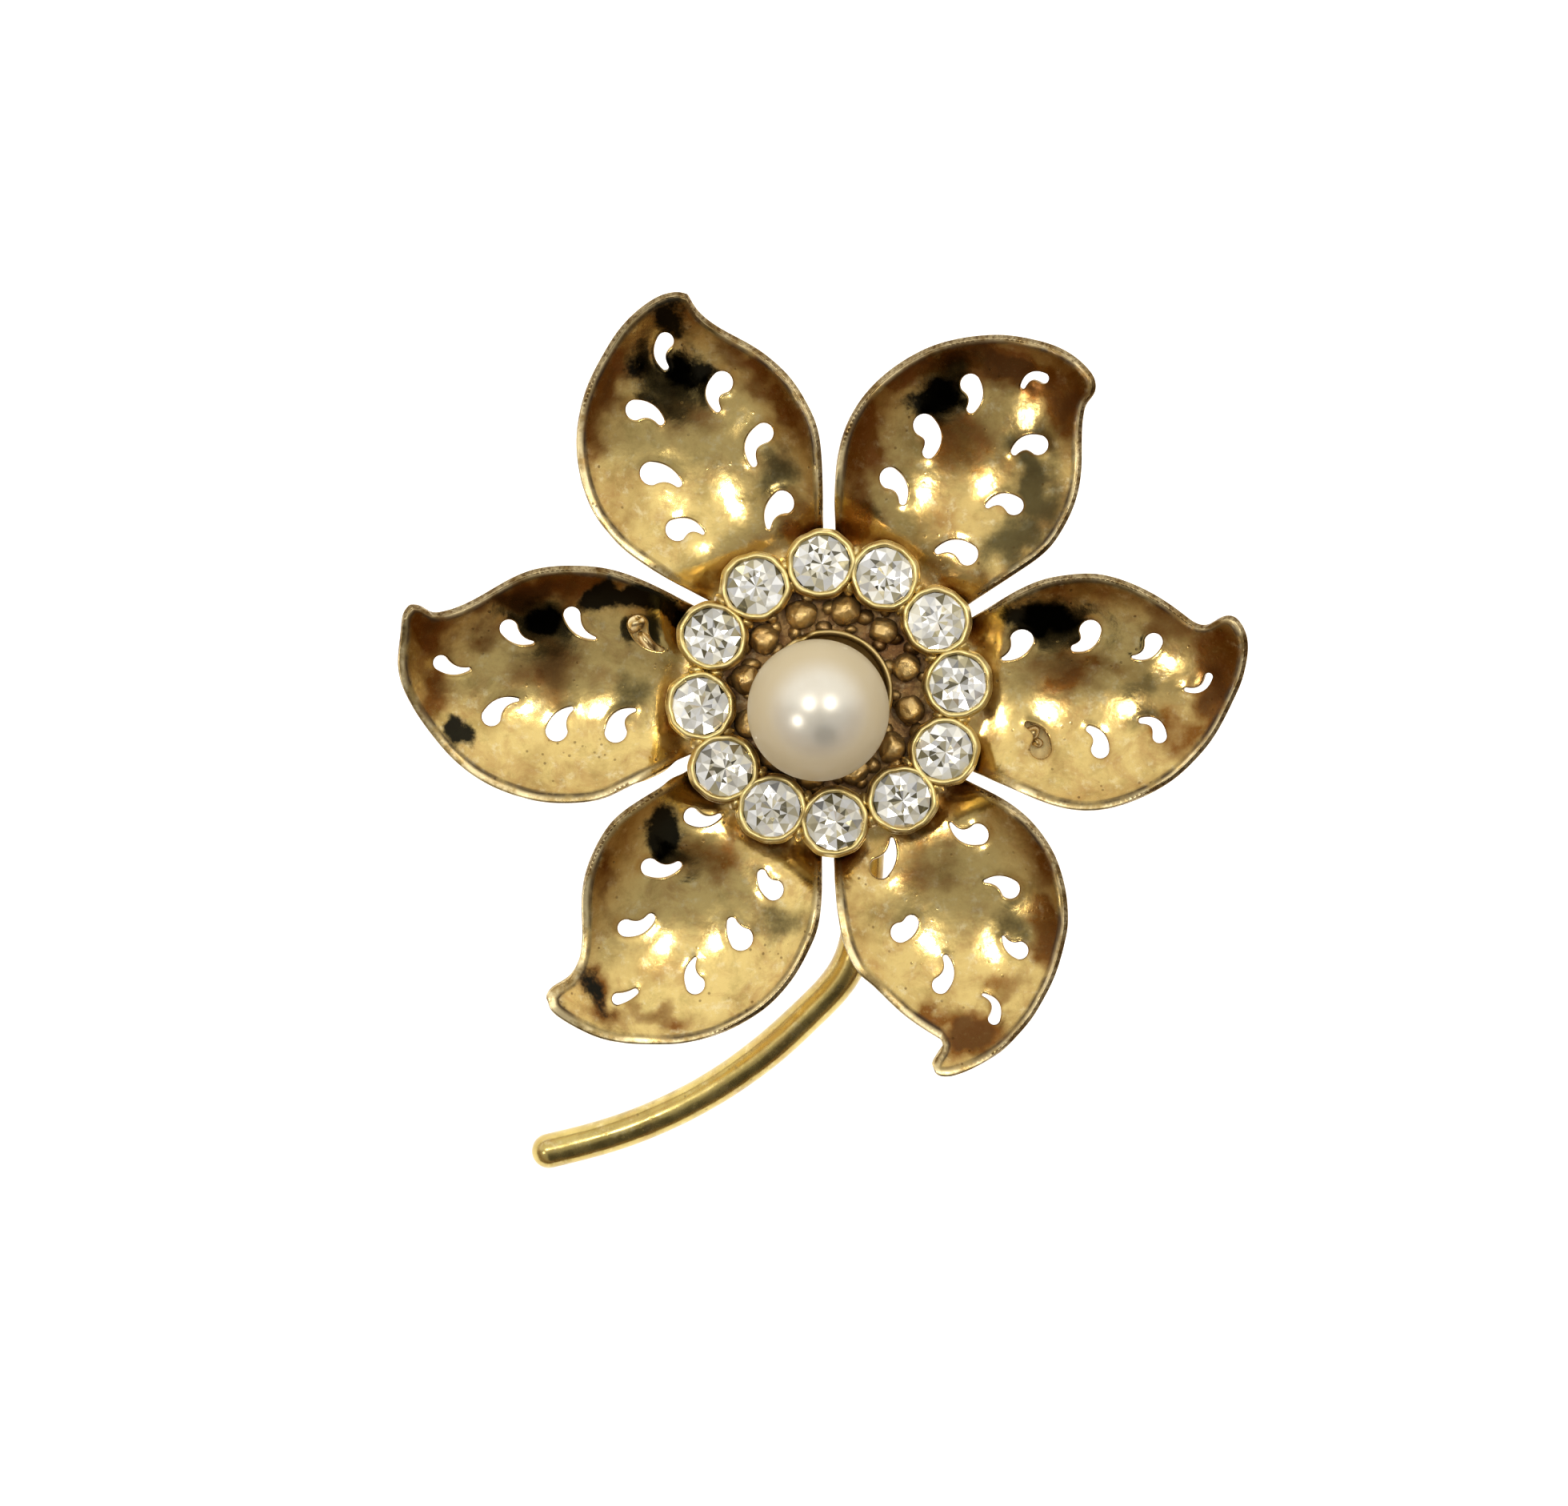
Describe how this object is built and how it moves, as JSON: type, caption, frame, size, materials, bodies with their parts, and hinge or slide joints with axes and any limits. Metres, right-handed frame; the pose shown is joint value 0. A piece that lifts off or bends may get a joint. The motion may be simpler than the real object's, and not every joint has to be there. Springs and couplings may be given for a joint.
{
  "type": "brooch",
  "caption": "Gilt flower brooch with pierced dished petals, a crown of set clear stones around a large pearl, a curved stem, and a hinged pin with a turning safety catch on the back.",
  "frame": {"origin": "middle of the underside of the whole brooch, on the table it lies on", "axes": "+Z the way the flower faces, +Y up the flower away from the stem, +X to the flower's right as seen from the front"},
  "size_m": [0.0528, 0.055, 0.0172],
  "materials": {
    "gilt_petal": "aged gilt, worn bright at the cut edges",
    "gilt_crown": "aged gilt, dark in the corners",
    "gilt_bead": "dark aged gilt",
    "gilt_cup": "aged gilt",
    "gilt_stem": "polished aged gilt",
    "gilt_back": "dull gilt",
    "clear_glass": "faceted, foiled behind",
    "pearl": "pearl lacquer",
    "steel_pin": "polished wire"
  },
  "bodies": {
    "flower": {"petal_right": "gilt_petal", "petal_upper_right": "gilt_petal", "petal_upper_left": "gilt_petal", "petal_left": "gilt_petal", "petal_lower_left": "gilt_petal", "petal_lower_right": "gilt_petal", "hub_plate": "gilt_back", "bead_plate": "gilt_bead", "crown_ring": "gilt_crown", "chaton_01": "clear_glass", "chaton_02": "clear_glass", "chaton_03": "clear_glass", "chaton_04": "clear_glass", "chaton_05": "clear_glass", "chaton_06": "clear_glass", "chaton_07": "clear_glass", "chaton_08": "clear_glass", "chaton_09": "clear_glass", "chaton_10": "clear_glass", "chaton_11": "clear_glass", "chaton_12": "clear_glass", "pearl_cup": "gilt_cup", "pearl_peg": "steel_pin", "pearl": "pearl", "stem": "gilt_stem", "pin_bar": "gilt_back", "hinge_rivet": "gilt_back", "catch_housing": "gilt_back"},
    "pin": {"pin_stem": "steel_pin"},
    "lock": {"catch_lock": "gilt_back"}
  },
  "joints": [
    {"name": "pin_hinge", "type": "hinge", "parent": "flower", "child": "pin", "pos_m": [-0.01164, 0.00631, 0.0016], "axis": [0.2554, 0.9668, 0], "range_deg": [0, 90]},
    {"name": "catch_lock_turn", "type": "hinge", "parent": "flower", "child": "lock", "pos_m": [0.0135, -0.00033, 0.0016], "axis": [0.9668, -0.2554, 0], "range_deg": [0, 110]}
  ]
}
